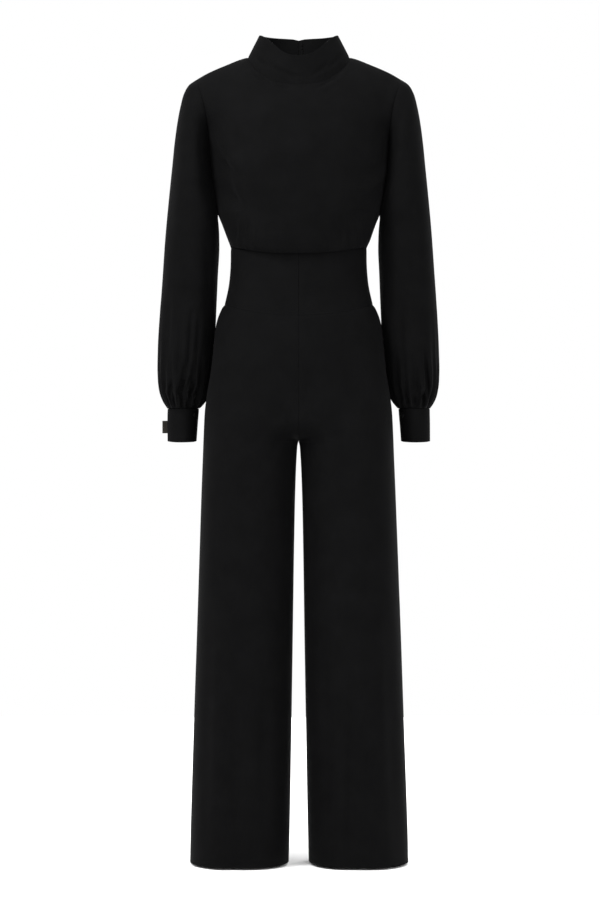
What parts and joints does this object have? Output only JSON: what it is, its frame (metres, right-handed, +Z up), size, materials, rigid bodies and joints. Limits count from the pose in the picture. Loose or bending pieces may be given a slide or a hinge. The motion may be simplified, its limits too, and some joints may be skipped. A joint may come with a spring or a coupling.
{
  "type": "long-sleeved high-neck jumpsuit",
  "caption": "Black crepe jumpsuit with a stand collar, bloused bodice, balloon sleeves gathered into buttoned cuffs, deep waistband and straight wide legs, filled out as worn.",
  "frame": {"origin": "middle of the neck opening, level with the side points of the neck seam, where the shoulders hold it", "axes": "+Z up along the garment, -Y out of its front, +X towards the picture's right"},
  "size_m": [0.518, 0.246, 1.5106],
  "materials": {
    "crepe": "matte crepe",
    "crepe_doubled": "matte crepe, faced and interfaced",
    "covered_button": "crepe drawn over a domed button",
    "loop_cord": "narrow crepe cord",
    "ribbon": "plain satin ribbon"
  },
  "bodies": {
    "root": {"bodice_front": "crepe", "bodice_back_left": "crepe", "bodice_back_right": "crepe", "collar": "crepe_doubled", "sleeve_left": "crepe", "sleeve_right": "crepe", "cuff_left": "crepe_doubled", "cuff_right": "crepe_doubled", "waistband_front_left": "crepe_doubled", "waistband_front_right": "crepe_doubled", "waistband_back_left": "crepe_doubled", "waistband_back_right": "crepe_doubled", "trouser_front_left": "crepe", "trouser_front_right": "crepe", "trouser_back_left": "crepe", "trouser_back_right": "crepe", "collar_button_1": "covered_button", "collar_button_2": "covered_button", "collar_loop_1": "loop_cord", "collar_loop_2": "loop_cord", "cuff_button_left": "covered_button", "cuff_button_right": "covered_button", "cuff_tab": "ribbon"}
  },
  "joints": []
}
